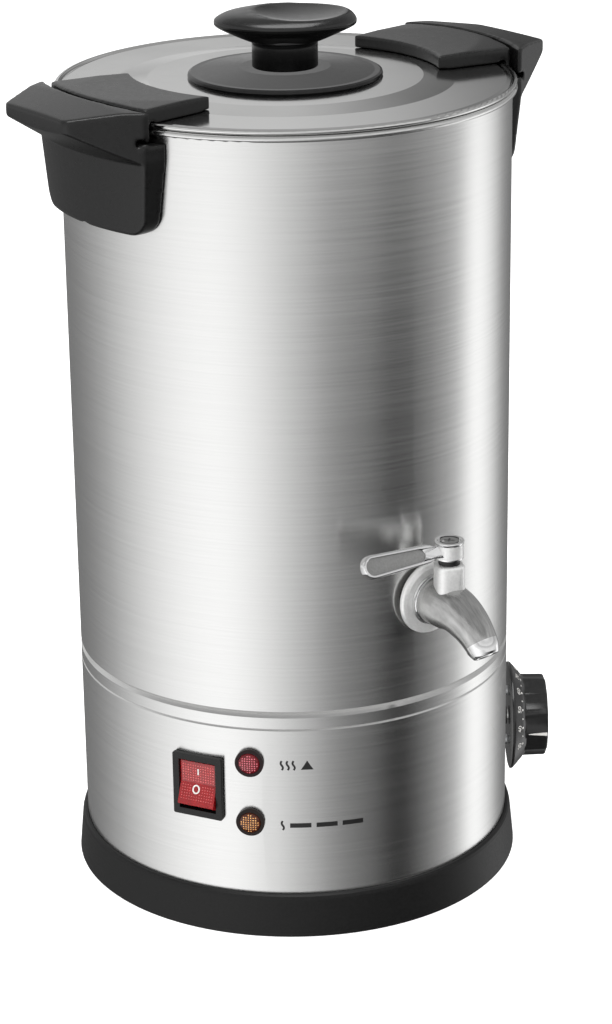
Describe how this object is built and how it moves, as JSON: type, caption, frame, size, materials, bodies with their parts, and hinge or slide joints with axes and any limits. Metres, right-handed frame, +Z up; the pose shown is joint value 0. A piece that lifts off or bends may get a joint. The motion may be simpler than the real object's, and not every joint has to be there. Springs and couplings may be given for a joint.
{
  "type": "wax melter",
  "caption": "Tall heated wax melting tank with a ball-valve lever tap, lift-off lid with knob, split side grips, dial, rocker switch and pilot lamps on a ringed base.",
  "frame": {"origin": "centre of the plane that the feet stand on, on the tank's axis", "axes": "+Z up along the tank's axis, the tap points to -Y, the grips lie along X"},
  "size_m": [0.286, 0.2885, 0.4413],
  "materials": {
    "brushed_wall": "finely brushed round the wall",
    "polished_steel": "satin polished lid",
    "zinc_steel": "zinc plated",
    "rod_steel": "plain turned",
    "chrome_tap": "satin chrome with polished edges",
    "black_phenolic": "satin moulded",
    "black_ring": "satin moulded",
    "disc_black": "black enamel",
    "dial_black": "matte moulded with white print",
    "cast_aluminium": "as cast",
    "element_sheath": "heat-darkened tube",
    "copper_bulb": "bare copper",
    "stat_case": "moulded",
    "ceramic_block": "pressed ceramic",
    "brass_screw": "plain",
    "wire_silicone": "silicone insulation",
    "switch_black": "glossy moulded",
    "rocker_red": "translucent red",
    "lamp_red": "translucent red",
    "lamp_amber": "translucent amber",
    "gland_black": "moulded nylon",
    "foot_rubber": "matte",
    "gasket_silicone": "silicone",
    "washer_black": "matte",
    "seat_ptfe": "machined"
  },
  "bodies": {
    "root": {"pot": "brushed_wall", "base_shell": "brushed_wall", "shell_flange": "zinc_steel", "base_ring": "black_ring", "bottom_plate": "zinc_steel", "bottom_screws": "zinc_steel", "rubber_feet": "foot_rubber", "tie_rods": "rod_steel", "tie_rod_nuts": "zinc_steel", "heater_plate": "cast_aluminium", "heating_element": "element_sheath", "heater_clamp": "zinc_steel", "heater_nut": "zinc_steel", "thermal_cutout": "stat_case", "cutout_screws": "zinc_steel", "thermostat_probe": "copper_bulb", "probe_clip": "zinc_steel", "thermostat_body": "stat_case", "thermostat_screws": "zinc_steel", "terminal_block": "ceramic_block", "terminal_screws": "brass_screw", "wiring_loom": "wire_silicone", "switch_housing": "switch_black", "heat_lamp_body": "lamp_red", "heat_lamp_lens": "lamp_red", "warm_lamp_body": "lamp_amber", "warm_lamp_lens": "lamp_amber", "cable_gland": "gland_black", "gland_locknut": "gland_black", "tap_rosette": "chrome_tap", "tap_outer_gasket": "washer_black", "tap_inner_gasket": "gasket_silicone", "tap_nut": "zinc_steel", "tap_body": "chrome_tap", "tap_seats": "seat_ptfe", "stem_washer": "washer_black", "left_handle": "black_phenolic", "right_handle": "black_phenolic", "handle_brackets": "zinc_steel", "handle_screws": "zinc_steel"},
    "lid_seal_ring": {"lid_seal": "gasket_silicone"},
    "lid": {"lid_pan": "polished_steel", "lid_disc": "disc_black", "lid_knob": "black_phenolic", "knob_screw": "zinc_steel", "left_lid_grip": "black_phenolic", "right_lid_grip": "black_phenolic", "lid_grip_screws": "zinc_steel"},
    "tap_handle": {"tap_lever": "chrome_tap", "lever_screw": "chrome_tap", "tap_stem": "rod_steel", "tap_ball": "chrome_tap"},
    "dial": {"dial_knob": "dial_black", "thermostat_shaft": "rod_steel"},
    "rocker": {"switch_rocker": "rocker_red"}
  },
  "joints": [
    {"name": "lid_lift", "type": "slide", "parent": "root", "child": "lid_seal_ring", "axis": [0, 0, 1], "range_m": [0, 0.12]},
    {"name": "lid_turn", "type": "hinge", "parent": "lid_seal_ring", "child": "lid", "pos_m": [0, 0, 0.405], "axis": [0, 0, 1], "range_deg": [-60, 60]},
    {"name": "tap_lever_turn", "type": "hinge", "parent": "root", "child": "tap_handle", "pos_m": [0, -0.127, 0.172], "axis": [0, 0, 1], "range_deg": [0, 90]},
    {"name": "dial_turn", "type": "hinge", "parent": "root", "child": "dial", "pos_m": [0.09011, -0.06309, 0.067], "axis": [0.8192, -0.5736, 0], "range_deg": [-125, 85]},
    {"name": "switch_rock", "type": "hinge", "parent": "root", "child": "rocker", "pos_m": [-0.09386, -0.05054, 0.0777], "axis": [0.4741, -0.8805, 0], "range_deg": [0, 22]}
  ]
}
